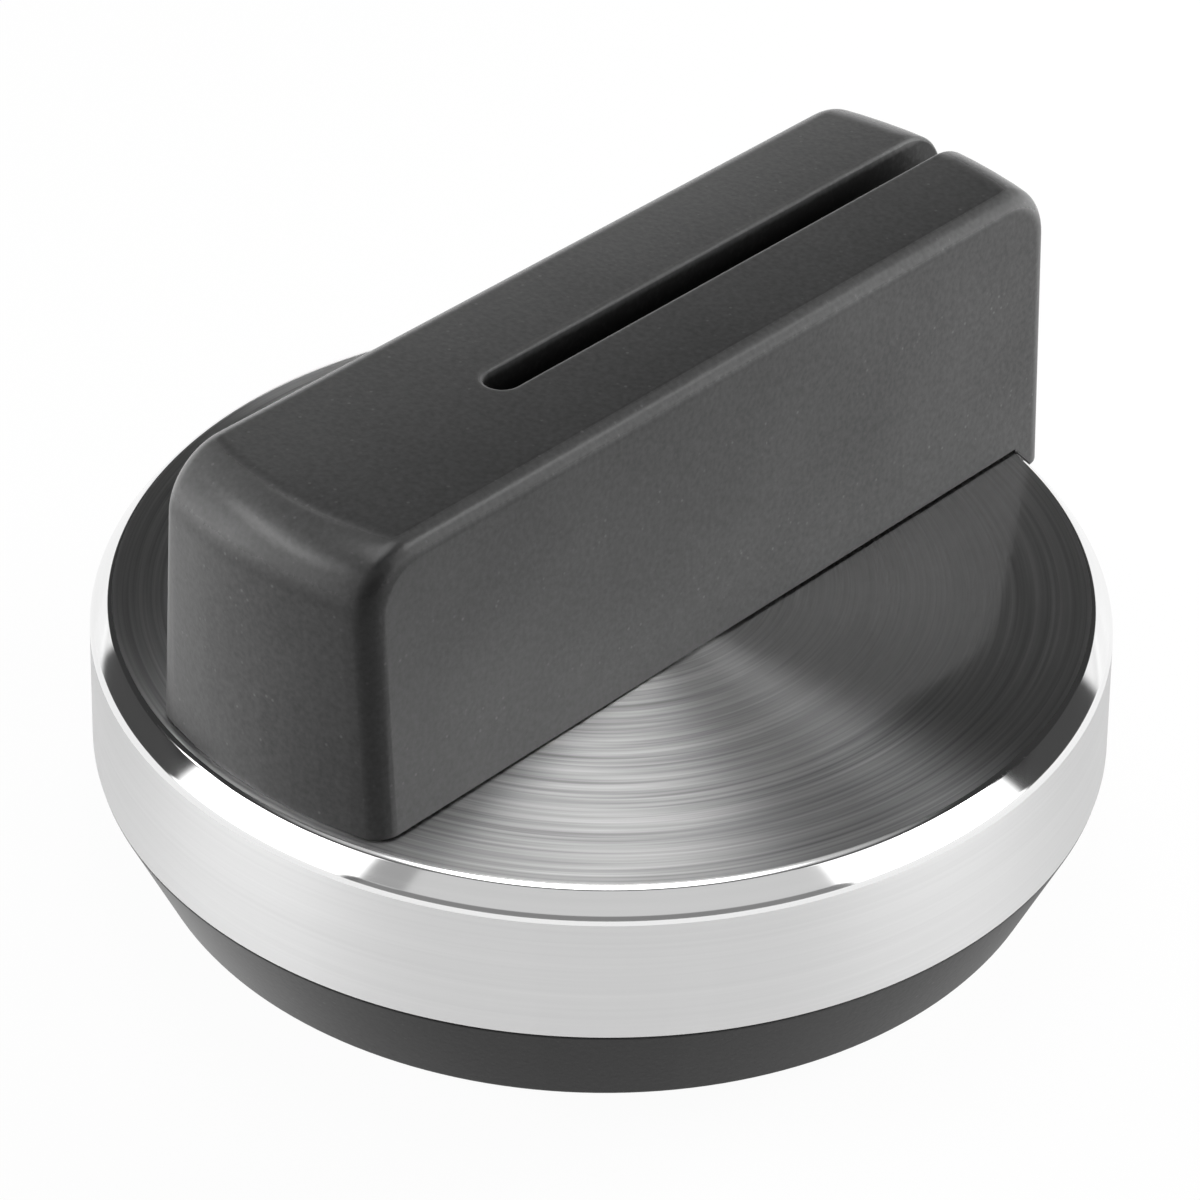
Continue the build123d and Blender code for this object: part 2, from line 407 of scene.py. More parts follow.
class Shader:
    """A material's or a world's node tree, and the one way to add nodes to it."""

    def __init__(self, owner: bpy.types.Material | bpy.types.World) -> None:
        """Empty the owner's tree.

        Args:
            owner: the material or the world.
        """
        owner.use_nodes = True
        self.owner = owner
        self.tree = owner.node_tree
        self.tree.nodes.clear()

    def node(self, kind: str, settings: dict | None = None, inputs: dict | None = None) -> bpy.types.Node:
        """Add a node.

        Args:
            kind: its type.
            settings: its properties, set before its inputs.
            inputs: values, wires or sockets for its inputs, by name or number.

        Returns:
            The node.
        """
        node = self.tree.nodes.new(kind)
        for key, value in (settings or {}).items():
            setattr(node, key, value)
        for key, value in (inputs or {}).items():
            if isinstance(value, Wire):
                self.tree.links.new(value.socket, node.inputs[key])
            elif isinstance(value, bpy.types.NodeSocket):
                self.tree.links.new(value, node.inputs[key])
            else:
                node.inputs[key].default_value = value
        return node

    def wire(self, kind: str, settings: dict, inputs: dict, output: str | int = 0) -> Wire:
        """Add a node and wrap one of its outputs."""
        return Wire(self, self.node(kind, settings, inputs).outputs[output])

    def part(self, vector: bpy.types.NodeSocket, axis: str) -> Wire:
        """Give a vector's X, Y or Z."""
        return self.wire("ShaderNodeSeparateXYZ", {}, {"Vector": vector}, axis)

    def along(self, vector: bpy.types.NodeSocket, direction: Sequence[float]) -> Wire:
        """Give how far a vector reaches along a direction."""
        return self.wire("ShaderNodeVectorMath", {"operation": "DOT_PRODUCT"}, {0: vector, 1: direction}, "Value")

    def place(self) -> bpy.types.NodeSocket:
        """Give the piece's own coordinates, in metres."""
        return self.node("ShaderNodeTexCoord").outputs["Object"]

    def noise(self, vector: bpy.types.NodeSocket, scale: float, detail: float = 2.0) -> Wire:
        """Add soft noise about one half, with so many grains in a unit of length and so many finer layers."""
        return self.wire("ShaderNodeTexNoise", {"noise_dimensions": "3D"},
                         {"Vector": vector, "Scale": scale, "Detail": detail}, "Fac")

    def blend(self, factor: Wire, first: Sequence[float], second: Sequence[float]) -> bpy.types.NodeSocket:
        """Mix two colours; the factor is the second one's share."""
        node = self.node("ShaderNodeMix", {"data_type": "RGBA"},
                         {"Factor": factor, 6: (*first, 1), 7: (*second, 1)})
        return node.outputs[2]

    def bump(self, height: Wire, distance: float) -> bpy.types.NodeSocket:
        """Turn a height into a surface normal; the distance is the metres that a height of 1 stands for."""
        return self.node("ShaderNodeBump", {}, {"Height": height, "Distance": distance}).outputs["Normal"]

    def ray_kinds(self) -> tuple[Wire, Wire]:
        """Tell what kind of ray meets the surface or the surround.

        Returns:
            1 for the camera's rays and those through glass, and 1 for those mirrored; 0 otherwise.
        """
        path = self.node("ShaderNodeLightPath")
        camera, mirrored, through = (
            Wire(self, path.outputs[name]) for name in ("Is Camera Ray", "Is Glossy Ray", "Is Transmission Ray"))
        return camera + through, mirrored

    def surface(self, inputs: dict) -> None:
        """Finish the tree with a Principled surface that has these inputs."""
        principled = self.node("ShaderNodeBsdfPrincipled", {}, inputs)
        self.node("ShaderNodeOutputMaterial", {}, {"Surface": principled.outputs["BSDF"]})

    def two_surfaces(self, share: Wire, first: dict, second: dict) -> None:
        """Finish the tree with two Principled surfaces mixed.

        Args:
            share: share of the second.
            first: inputs of the first.
            second: inputs of the second.
        """
        one, other = (
            self.node("ShaderNodeBsdfPrincipled", {}, inputs).outputs["BSDF"] for inputs in (first, second))
        mix = self.node("ShaderNodeMixShader", {}, {0: share, 1: one, 2: other})
        self.node("ShaderNodeOutputMaterial", {}, {"Surface": mix.outputs[0]})


def grey(value: float) -> tuple[float, float, float]:
    """Give a neutral colour of one linear value."""
    return (value, value, value)


# ---------------------------------------------------------------- finishes


@dataclass(frozen=True)
class MouldedPlastic:
    """Charcoal plastic with the fine grain of a spark-eroded mould, tiny pale specks and painted highlights on its
    roundings.

    The roundings and the groove's rim are painted paler than the flats, as painted highlights, and the inside of
    the groove is painted darker, as painted shade.
    The bar's top is shaded as if it were domed across, by the radius of its crown. Sizes are in metres.
    """

    name: str
    body: float = 0.02
    speck: float = 0.2
    plain_tone: float = 0.18
    grain_tone: float = 0.3
    grains_per_metre: float = 3600.0
    grain_depth: float = 0.000009
    cloud_tone: float = 0.12
    grains_per_cloud: float = 25.0
    speck_tone: float = 0.28
    specks_per_metre: float = 2600.0
    speck_share: float = 0.16
    roughness: float = 0.36
    roughness_spread: float = 0.06
    gloss: float = 0.25
    edge_highlight_tone: float = 0.25
    edge_highlight_gloss: float = 0.1
    rim_highlight_share: float = 0.6
    crown_radius: float = 0.06
    groove_half: float = 0.00092
    groove_end: float = -0.007
    groove_low: float = 0.025
    groove_high: float = 0.0282
    groove_fade: float = 0.0002

    def material(self) -> bpy.types.Material:
        """Build the finish's material.

        Returns:
            The material.
        """
        owner = bpy.data.materials.new(self.name)
        shader = Shader(owner)
        place = shader.place()
        across = shader.part(place, "X")
        groove_shade, rim = self._groove_shade_and_rim_highlight(shader, place, across)
        edge_highlight = self._painted_edge_highlight(shader)
        grain = shader.noise(place, self.grains_per_metre, 3.0)
        cloud = shader.noise(place, self.grains_per_metre / self.grains_per_cloud, 1.0)
        shade = self._specks(shader, place) * self.speck_tone
        shade += (grain - 0.5) * self.grain_tone
        shade += (cloud - 0.5) * self.cloud_tone
        # Painted highlights: the roundings and the groove's rim are made paler than the flats.
        shade += (edge_highlight + rim * self.rim_highlight_share) * self.edge_highlight_tone
        # Painted shade: inside the groove the plain tone is left out, so it is darker.
        shade += self.plain_tone * (1 - groove_shade)
        crown = across * across * (0.5 / self.crown_radius)
        shader.surface({
            "Base Color": shader.blend(shade, grey(self.body), grey(self.speck)),
            "Roughness": self.roughness + (grain - 0.5) * self.roughness_spread - edge_highlight * self.edge_highlight_gloss,
            "Normal": shader.bump(grain * self.grain_depth - crown, 1.0),
            "Specular IOR Level": self.gloss,
        })
        return owner

    def _groove_shade_and_rim_highlight(self, shader: Shader, place: bpy.types.NodeSocket, across: Wire) -> tuple[Wire, Wire]:
        """Mark the groove's inside, where painted shade goes, and its rim, where a painted highlight goes, both
        with a round end towards the tail.

        Args:
            shader: the tree they are added to.
            place: the piece's own coordinates.
            across: the place across the bar.

        Returns:
            1 inside the groove, for painted shade, and 1 on its rim, for a painted highlight.
        """
        past_end = (shader.part(place, "Y") - self.groove_end).capped(0)
        aside = across * across + past_end * past_end
        height = shader.part(place, "Z")
        at_top = height.eased(self.groove_high - 2 * self.groove_fade, self.groove_high)
        above_floor = height.eased(self.groove_low - self.groove_fade, self.groove_low)
        edge = self.groove_half ** 2
        inside = (1 - aside.eased(edge, 1.3 * edge)) * above_floor * (1 - at_top)
        # The second mask is the rim, where a painted highlight goes.
        return inside, (1 - aside.eased(1.4 * edge, 2 * edge)) * at_top

    @staticmethod
    def _painted_edge_highlight(shader: Shader) -> Wire:
        """Mark the roundings between the upright walls and the level top, where a painted highlight makes them
        paler.
        """
        lean = shader.part(shader.node("ShaderNodeTexCoord").outputs["Normal"], "Z")
        return lean.eased(0.15, 0.45) * (1 - lean.eased(0.975, 0.998))

    def _specks(self, shader: Shader, place: bpy.types.NodeSocket) -> Wire:
        """Mark the specks: small dots in a few of the cells of a pattern.

        Args:
            shader: the tree they are added to.
            place: the piece's own coordinates.

        Returns:
            1 on a speck and 0 between them.
        """
        cells = shader.node("ShaderNodeTexVoronoi", {"feature": "F1"},
                            {"Vector": place, "Scale": self.specks_per_metre})
        chance = shader.wire("ShaderNodeSeparateColor", {}, {"Color": cells.outputs["Color"]}, "Red")
        dot = 1 - Wire(shader, cells.outputs["Distance"]).eased(0.08, 0.3)
        return dot * chance.eased(1 - self.speck_share, 1.0)


@dataclass(frozen=True)
class TurnedMetal:
    """Metal turned or spun on a lathe: fine rings about the Z axis, some of them with duller grooves."""

    name: str
    colour: float = 0.75
    roughness: float = 0.3
    roughness_spread: float = 0.1
    rings_per_metre: float = 5200.0
    broad_rings_per_metre: float = 900.0
    ring_depth: float = 0.000004
    fine_share: float = 0.6
    tone_contrast: float = 2.0
    tone_spread: float = 0.12
    anisotropy: float = 0.8
    anisotropy_turn: float = 0.25
    height_share: float = 0.0
    groove_share: float = 0.0
    groove_contrast: float = 1.6
    groove_roughness: float = 0.38

    def material(self) -> bpy.types.Material:
        """Build the finish's material.

        Returns:
            The material.
        """
        owner = bpy.data.materials.new(self.name)
        shader = Shader(owner)
        place = shader.place()
        flat = shader.node("ShaderNodeVectorMath", {"operation": "MULTIPLY"}, {0: place, 1: (1, 1, 0)})
        radius = shader.wire("ShaderNodeVectorMath", {"operation": "LENGTH"}, {0: flat.outputs[0]}, "Value")
        ring = radius + shader.part(place, "Z") * self.height_share if self.height_share else radius
        bearing = shader.node("ShaderNodeVectorMath", {"operation": "NORMALIZE"}, {0: flat.outputs[0]})
        fine = self._rings(shader, bearing.outputs[0], ring, self.rings_per_metre)
        broad = self._rings(shader, bearing.outputs[0], ring, self.broad_rings_per_metre)
        worked = fine * self.fine_share + broad * (1 - self.fine_share)
        shade = (worked - 0.5) * self.tone_contrast + 0.5
        dark, pale = self.colour * (1 - self.tone_spread), min(1.0, self.colour * (1 + self.tone_spread))
        lands = {
            "Base Color": shader.blend(shade, grey(dark), grey(pale)),
            "Metallic": 1.0,
            "Roughness": self.roughness + (worked - 0.5) * self.roughness_spread,
            "Normal": shader.bump(worked, self.ring_depth),
            "Anisotropic": self.anisotropy,
            "Anisotropic Rotation": self.anisotropy_turn,
        }
        if not self.groove_share:
            shader.surface(lands)
            return owner
        grooves = lands | {"Roughness": self.groove_roughness, "Anisotropic": 1.0}
        share = (worked - 0.5) * self.groove_contrast + self.groove_share
        shader.two_surfaces(share, lands, grooves)
        return owner

    @staticmethod
    def _rings(shader: Shader, bearing: bpy.types.NodeSocket, ring: Wire, per_metre: float) -> Wire:
        """Make long streaks that follow the turning.

        Args:
            shader: the tree they are added to.
            bearing: unit vector from the axis to the point.
            ring: the point's place across the rings, in metres.
            per_metre: how many rings lie in a metre.

        Returns:
            A value about one half.
        """
        lift = shader.node("ShaderNodeCombineXYZ", {}, {"Z": ring * per_metre})
        spot = shader.node("ShaderNodeVectorMath", {"operation": "ADD"}, {0: bearing, 1: lift.outputs[0]})
        return shader.noise(spot.outputs[0], 1.0, 3.0)


@dataclass(frozen=True)
class PlatedSteel:
    """Bright plated steel, faintly mottled."""

    name: str
    colour: float = 0.55
    dull_share: float = 0.8
    roughness: float = 0.32
    roughness_spread: float = 0.2
    mottles_per_metre: float = 1800.0
    mottle_depth: float = 0.000004

    def material(self) -> bpy.types.Material:
        """Build the finish's material.

        Returns:
            The material.
        """
        owner = bpy.data.materials.new(self.name)
        shader = Shader(owner)
        mottle = shader.noise(shader.place(), self.mottles_per_metre, 4.0)
        shader.surface({
            "Base Color": shader.blend(mottle, grey(self.colour * self.dull_share), grey(self.colour)),
            "Metallic": 1.0,
            "Roughness": self.roughness + (mottle - 0.5) * self.roughness_spread,
            "Normal": shader.bump(mottle, self.mottle_depth),
        })
        return owner


# ---------------------------------------------------------------- pieces


@dataclass
class MetalCap:
    """The turned cup: ringed face, polished bevel and satin skirt."""

    bevel_width: float = 1.0
    bevel_height: float = 1.2
    bevel_fillet: float = 0.8
    face_edge_fillet: float = 0.5
    skirt_flare: float = 0.2
    wall: float = 1.6
    face_thickness: float = 2.0
    column_hole_radius: float = 4.75
    screw_hole_radius: float = 1.7
    screw_y: float = 13.5
    inner_fillet: float = 0.8
    foot_break: float = 0.05
    steps: int = 256
    low: Vector = field(default_factory=lambda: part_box("cap")[0] / MM)
    high: Vector = field(default_factory=lambda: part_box("cap")[1] / MM)

    @property
    def edge_radius(self) -> float:
        """Radius of the bevel's outer edge."""
        return self.high.x - self.skirt_flare

    @property
    def face_radius(self) -> float:
        """Radius of the bevel's inner edge."""
        return self.edge_radius - self.bevel_width

    @property
    def edge_z(self) -> float:
        """Height of the bevel's outer edge."""
        return self.high.z - self.bevel_height

    @property
    def inner_reach(self) -> float:
        """How far the fillet at the bevel's inner edge reaches into the face."""
        return self.face_edge_fillet * math.tan(math.atan2(self.bevel_height, self.bevel_width) / 2)

    @property
    def outer_reach(self) -> float:
        """How far the fillet at the bevel's outer edge reaches down the skirt.

        Returns:
            The reach, in millimetres.
        """
        bevel_slope = math.atan2(self.bevel_height, self.bevel_width)
        skirt_slope = math.atan2(self.edge_z - self.low.z, self.skirt_flare)
        return self.bevel_fillet * math.tan((skirt_slope - bevel_slope) / 2)

    def build(self) -> bpy.types.Object:
        """Turn the cap, drill it and dress it.

        Returns:
            The cap.
        """
        foot_radius = self.high.x
        inner_radius = self.edge_radius - self.wall
        under_z = self.high.z - self.face_thickness
        solid = Solid.lathe([
            (self.column_hole_radius, self.high.z),
            (self.face_radius, self.high.z),
            (self.edge_radius, self.edge_z),
            (foot_radius, self.low.z),
            (inner_radius, self.low.z),
            (inner_radius, under_z),
            (self.column_hole_radius, under_z),
        ], self.steps)
        solid.rounded(on_ring(self.face_radius, self.high.z), self.inner_reach, 8)
        solid.rounded(on_ring(self.edge_radius, self.edge_z), self.outer_reach, 8)
        solid.rounded(on_ring(foot_radius, self.low.z), self.foot_break, 3)
        solid.rounded(on_ring(inner_radius, under_z), self.inner_fillet, 4)
        for side in (-1, 1):
            solid = solid.minus(Solid.cylinder(
                self.screw_hole_radius, under_z - PAST, self.high.z + PAST, (0, side * self.screw_y)))
        finishes = [
            TurnedMetal("face_metal", colour=0.76, roughness=0.09, anisotropy=0.3, ring_depth=0.0000016,
                        groove_share=0.5, groove_contrast=1.1, groove_roughness=0.35).material(),
            TurnedMetal("bevel_metal", colour=0.85, roughness=0.09, roughness_spread=0.04, tone_spread=0.03,
                        ring_depth=0.0000005, anisotropy=0.3).material(),
            TurnedMetal("skirt_metal", colour=0.75, roughness=0.43, tone_spread=0.05, height_share=1.0,
                        anisotropy=0.8).material(),
        ]
        return solid.piece("spun_cap", "cap", "spun_aluminium", finishes, self._zone)

    def _zone(self, face: bmesh.types.BMFace) -> int:
        """Tell the face, the bevel and the skirt apart.

        Args:
            face: a face of the cap.

        Returns:
            0 for the face and the inside, 1 for the bevel, 2 for the skirt.
        """
        centre = face.calc_center_median()
        outside = centre.xy.length > self.face_radius - self.inner_reach / 2 and face.normal.z > -0.5
        if not outside or centre.z > self.high.z - MERGE_DISTANCE:
            return 0
        return 1 if centre.z > self.edge_z - self.outer_reach else 2


@dataclass
class GripBar:
    """The moulded bar: drafted, rounded, hollow below, with an open groove along its nose half."""

    width: float = 15.0
    side_draft: float = math.radians(3.5)
    tail_radius: float = 23.65
    tail_draft: float = math.radians(2.0)
    nose_radius: float = 26.2
    nose_draft: float = math.radians(0.4)
    arc_steps: int = 9
    end_fillet: float = 3.1
    end_fillet_steps: int = 14
    edge_fillet: float = 1.0
    edge_fillet_steps: int = 10
    relief_height: float = 0.15
    relief_depth: float = 0.5
    lip_clearance: float = 0.15
    groove_width: float = 1.8
    groove_depth: float = 3.0
    groove_tail: float = 7.9
    groove_break: float = 0.25
    wall: float = 2.2
    roof: float = 2.2
    web_thickness: float = 1.6
    web_y: float = 4.75
    boss_radius: float = 3.1
    boss_rib: float = 1.2
    screw_bore: float = 1.47
    screw_y: float = 13.5
    bore_top: float = 22.4
    steps: int = 192
    hole_steps: int = 32
    flank_area: float = 100.0
    flank_lean: float = 0.9
    wall_lean: float = 0.01
    near_floor: float = 0.05
    near_nose: float = 0.6
    cap: MetalCap = field(default_factory=MetalCap)
    low: Vector = field(default_factory=lambda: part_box("grip")[0] / MM)
    high: Vector = field(default_factory=lambda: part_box("grip")[1] / MM)

    @property
    def seat_z(self) -> float:
        """Height of the cap's face, where the bar stands."""
        return self.cap.high.z

    def outline(self, mesh: bmesh.types.BMesh, z: float, inset: float = 0.0,
                nose_radius: float | None = None) -> list[bmesh.types.BMEdge]:
        """Draw the bar's outline at one height, from its drafts.

        Args:
            mesh: the mesh that it is drawn in.
            z: its height.
            inset: how far it lies inside the bar's faces.
            nose_radius: the nose's radius at the seat, if it isn't the bar's own.

        Returns:
            The outline's edges.
        """
        rise = z - self.seat_z
        half = self.width / 2 - rise * math.tan(self.side_draft) - inset
        tail = self.tail_radius - rise * math.tan(self.tail_draft) - inset
        nose = (nose_radius or self.nose_radius) - rise * math.tan(self.nose_draft) - inset
        ends = []
        for radius, side in ((nose, 1), (tail, -1)):
            reach = math.asin(half / radius)
            start = mesh.verts.new((side * half, side * radius * math.cos(reach), z))
            turned = bmesh.ops.spin(
                mesh, geom=[start], cent=(0, 0, z), axis=(0, 0, 1), dvec=(0, 0, 0),
                angle=2 * reach, steps=self.arc_steps, use_duplicate=False,
            )
            last = next(item for item in turned["geom_last"] if isinstance(item, bmesh.types.BMVert))
            ends.append((start, last))
        (nose_start, nose_last), (tail_start, tail_last) = ends
        mesh.edges.new((nose_last, tail_start))
        mesh.edges.new((tail_last, nose_start))
        return [edge for edge in mesh.edges if at_height(z)(edge)]

    def block(self, low: float, high: float, inset: float = 0.0, nose_radius: float | None = None) -> Solid:
        """Loft the bar's outline between two heights.

        Args:
            low: the lower height.
            high: the upper height.
            inset: how far it lies inside the bar's faces.
            nose_radius: the nose's radius at the seat, if it isn't the bar's own.

        Returns:
            The drafted block.
        """
        mesh = bmesh.new()
        lower = self.outline(mesh, low, inset, nose_radius)
        upper = self.outline(mesh, high, inset, nose_radius)
        return Solid.loft(lower, upper, mesh)

    def rounded_block(self) -> Solid:
        """Make the outside of the bar, with the fillets across its ends and along its flanks.

        Returns:
            The rounded block.
        """
        top, foot = at_height(self.high.z), at_height(self.low.z)
        solid = self.block(self.low.z, self.high.z)
        solid.rounded(
            lambda edge: top(edge) and edge.verts[0].co.y * edge.verts[1].co.y > 0
            and all(abs(vert.co.y) > self.tail_radius / 2 for vert in edge.verts),
            self.end_fillet, self.end_fillet_steps)
        flanks = [face for face in solid.mesh.faces if abs(face.normal.x) > self.flank_lean
                  and face.calc_area() > self.flank_area]
        rims = [edge for face in flanks for edge in face.edges if not foot(edge)]
        solid.round_edges(rims, self.edge_fillet, self.edge_fillet_steps)
        # The walls are a little twisted; split flat, they are cut across without slivers.
        walls = [face for face in solid.mesh.faces if min(vert.co.z for vert in face.verts) < self.seat_z]
        bmesh.ops.connect_verts_nonplanar(solid.mesh, angle_limit=NEARLY_FLAT, faces=walls)
        return solid

    def seat(self) -> Solid:
        """Make what the cap takes out of the bar: its face, its bevel and the clearance round them.

        Returns:
            The solid to cut away.
        """
        clear_radius = self.cap.edge_radius + self.lip_clearance
        bevel_z = self.seat_z - self.cap.bevel_height
        return Solid.lathe([
            (0, self.seat_z),
            (self.cap.face_radius + self.lip_clearance, self.seat_z),
            (clear_radius, bevel_z),
            (clear_radius, self.low.z - PAST),
            (0, self.low.z - PAST),
        ], self.steps, closed=False)

    def relief(self) -> Solid:
        """Make the thin gap round the bar's foot, above the face.

        Returns:
            The solid to cut away.
        """
        ring = Solid.cylinder(self.cap.face_radius, self.seat_z - PAST / 2, self.seat_z + self.relief_height,
                              steps=self.steps)
        return ring.minus(self.block(self.seat_z - PAST, self.seat_z + PAST, self.relief_depth))

    def groove(self) -> Solid:
        """Make the pointer groove, with a round end towards the tail.

        Returns:
            The solid to cut away.
        """
        floor = self.high.z - self.groove_depth
        half = self.groove_width / 2
        round_y = half - self.groove_tail
        past_nose = self.nose_radius + 2 * PAST
        tall = self.groove_depth + 2 * PAST
        channel = Solid.block(
            (self.groove_width, past_nose - round_y, tall), (0, (past_nose + round_y) / 2, floor + tall / 2))
        return channel.plus(Solid.cylinder(half, floor, self.high.z + 2 * PAST, (0, round_y), self.hole_steps))

    def hollow(self) -> Solid:
        """Make the space inside the bar, between its webs, ribs and bosses.

        Returns:
            The solid to cut away.
        """
        top = self.high.z - self.groove_depth - self.roof
        space = self.block(self.seat_z - PAST / 2, top, self.wall, self.cap.face_radius)
        middle = (self.seat_z + top) / 2
        tall = top - self.seat_z + 2 * PAST
        rib_length = self.tail_radius - self.wall / 2 - self.web_y
        for side in (-1, 1):
            web_centre = side * (self.web_y + self.web_thickness / 2)
            rib_centre = side * (self.web_y + rib_length / 2)
            space = space.minus(
                Solid.block((self.width, self.web_thickness, tall), (0, web_centre, middle)),
                Solid.block((self.boss_rib, rib_length, tall), (0, rib_centre, middle)),
                Solid.cylinder(self.boss_radius, middle - tall / 2, middle + tall / 2, (0, side * self.screw_y)),
            )
        return space

    def rim_of_groove(self, edge: bmesh.types.BMEdge) -> bool:
        """Tell whether an edge of the grooved bar runs where the groove's walls meet the outside.

        Args:
            edge: the edge.

        Returns:
            Whether it does.
        """
        if len(edge.link_faces) != 2 or any(abs(vert.co.x) > self.groove_width for vert in edge.verts):
            return False
        if max(vert.co.z for vert in edge.verts) < self.high.z - self.groove_depth + self.near_floor:
            return False
        inward = [self._is_groove_wall(face) for face in edge.link_faces]
        return inward[0] != inward[1]

    def _is_groove_wall(self, face: bmesh.types.BMFace) -> bool:
        """Tell whether a face is part of the groove's upright wall."""
        centre = face.calc_center_median()
        return (abs(face.normal.z) < self.wall_lean and abs(centre.x) < self.groove_width / 2 + self.wall_lean
                and centre.y < self.nose_radius - self.near_nose
                and centre.z > self.high.z - self.groove_depth - 2 * self.near_floor)

    def build(self) -> bpy.types.Object:
        """Mould the bar and dress it.

        Returns:
            The bar.
        """
        solid = self.rounded_block().minus(self.seat(), self.relief(), self.groove())
        solid.rounded(self.rim_of_groove, self.groove_break, 4)
        solid = solid.minus(self.hollow())
        for side in (-1, 1):
            solid = solid.minus(Solid.cylinder(
                self.screw_bore, self.seat_z - PAST, self.bore_top, (0, side * self.screw_y), self.hole_steps))
        finish = MouldedPlastic("grip_plastic").material()
        piece = solid.piece("grip_bar", "grip", "grip_plastic", [finish])
        keep_flats_flat(piece)
        return piece


@dataclass
class BaseMoulding:
    """The moulding under the cap: skirt, deck, spigot, column, ribs and the hub for the spindle."""

    rim_radius: float = 22.8
    rim_width: float = 2.2
    rim_fillet: float = 0.4
    skirt_height: float = 5.65
    skirt_edge_fillet: float = 0.12
    spigot_radius: float = 23.4
    spigot_fillet: float = 0.8
    deck_top: float = 11.6
    deck_under: float = 9.2
    core_draft: float = math.radians(2)
    root_fillet: float = 0.8
    hub_draft: float = math.radians(1)
    hub_radius: float = 6.5
    ring_seat_radius: float = 5.7
    ring_top: float = 4.2
    hub_foot: float = 1.0
    column_radius: float = 4.6
    column_chamfer: float = 0.6
    rib_count: int = 4
    rib_angle: float = math.radians(45)
    rib_thickness: float = 1.5
    rib_foot: float = 4.6
    rib_fillet: float = 0.2
    pad_radius: float = 3.8
    pad_height: float = 0.6
    screw_hole_radius: float = 1.7
    screw_y: float = 13.5
    socket_radius: float = 3.05
    socket_flat: float = 1.55
    socket_top: float = 17.0
    lead_in_radius: float = 3.3
    lead_in_depth: float = 4.0
    spring_pocket_width: float = 3.8
    spring_pocket_floor: float = 2.55
    steps: int = 192
    socket_steps: int = 64
    low: Vector = field(default_factory=lambda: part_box("base")[0] / MM)
    high: Vector = field(default_factory=lambda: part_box("base")[1] / MM)

    @property
    def core_root_radius(self) -> float:
        """Radius of the skirt's inside where it meets the deck."""
        return self.rim_radius - self.rim_width - self.deck_under * math.tan(self.core_draft)

    @property
    def hub_root_radius(self) -> float:
        """Radius of the hub where it meets the deck."""
        return self.hub_radius + (self.deck_under - self.ring_top) * math.tan(self.hub_draft)

    def turned_body(self) -> Solid:
        """Make the round form of the moulding.

        Returns:
            The turned solid.
        """
        core_mouth = self.rim_radius - self.rim_width
        solid = Solid.lathe([
            (0, self.high.z),
            (self.column_radius - self.column_chamfer, self.high.z),
            (self.column_radius, self.high.z - self.column_chamfer),
            (self.column_radius, self.deck_top),
            (self.spigot_radius, self.deck_top),
            (self.spigot_radius, self.skirt_height),
            (self.high.x, self.skirt_height),
            (self.rim_radius, self.low.z),
            (core_mouth, self.low.z),
            (self.core_root_radius, self.deck_under),
            (self.hub_root_radius, self.deck_under),
            (self.hub_radius, self.ring_top),
            (self.ring_seat_radius, self.ring_top),
            (self.ring_seat_radius, self.hub_foot),
            (0, self.hub_foot),
        ], self.steps, closed=False)
        for radius, height, fillet, segments in (
            (self.rim_radius, self.low.z, self.rim_fillet, 5),
            (core_mouth, self.low.z, self.rim_fillet, 5),
            (self.core_root_radius, self.deck_under, self.root_fillet, 5),
            (self.hub_root_radius, self.deck_under, self.root_fillet, 5),
            (self.spigot_radius, self.deck_top, self.spigot_fillet, 5),
            (self.high.x, self.skirt_height, self.skirt_edge_fillet, 2),
        ):
            solid.rounded(on_ring(radius, height), fillet, segments)
        return solid

    def socket(self) -> Solid:
        """Make the D-shaped hole for the spindle, its round mouth and the pocket of its spring.

        Returns:
            The solid to cut away.
        """
        low = self.hub_foot - PAST
        middle = (low + self.socket_top) / 2
        tall = self.socket_top - low
        hole = Solid.cylinder(self.socket_radius, low, self.socket_top, steps=self.socket_steps)
        hole = hole.minus(Solid.block(
            (4 * self.socket_radius, self.socket_radius, tall + 2 * PAST),
            (0, -self.socket_flat - self.socket_radius / 2, middle)))
        pocket_depth = self.spring_pocket_floor - self.socket_flat + PAST / 2
        pocket = Solid.block(
            (self.spring_pocket_width, pocket_depth, tall),
            (0, -self.spring_pocket_floor + pocket_depth / 2, middle))
        mouth = Solid.cylinder(
            self.lead_in_radius, low, self.hub_foot + self.lead_in_depth, steps=self.socket_steps)
        return hole.plus(pocket, mouth)

    def build(self) -> bpy.types.Object:
        """Mould the base and dress it.

        Returns:
            The base.
        """
        solid = self.turned_body()
        rib_length = self.core_root_radius - self.hub_radius + self.rib_thickness
        rib_middle = (self.core_root_radius + self.hub_radius) / 2
        rib_tall = self.deck_under - self.rib_foot + PAST / 2
        for count in range(self.rib_count):
            rib = Solid.block(
                (rib_length, self.rib_thickness, rib_tall), (rib_middle, 0, self.rib_foot + rib_tall / 2),
                self.rib_angle + math.tau * count / self.rib_count)
            solid = solid.plus(rib.rounded(at_height(self.rib_foot), self.rib_fillet, 2))
        pad_z = self.deck_under - self.pad_height
        for side in (-1, 1):
            place = (0, side * self.screw_y)
            solid = solid.plus(Solid.cylinder(self.pad_radius, pad_z, self.deck_under + PAST / 2, place))
            solid = solid.minus(Solid.cylinder(self.screw_hole_radius, pad_z - PAST, self.deck_top + PAST, place))
        solid = solid.minus(self.socket())
        finish = MouldedPlastic("base_plastic", body=0.003, gloss=0.2, edge_highlight_tone=0.0).material()
        piece = solid.piece("base_moulding", "base", "base_plastic", [finish])
        keep_flats_flat(piece)
        return piece


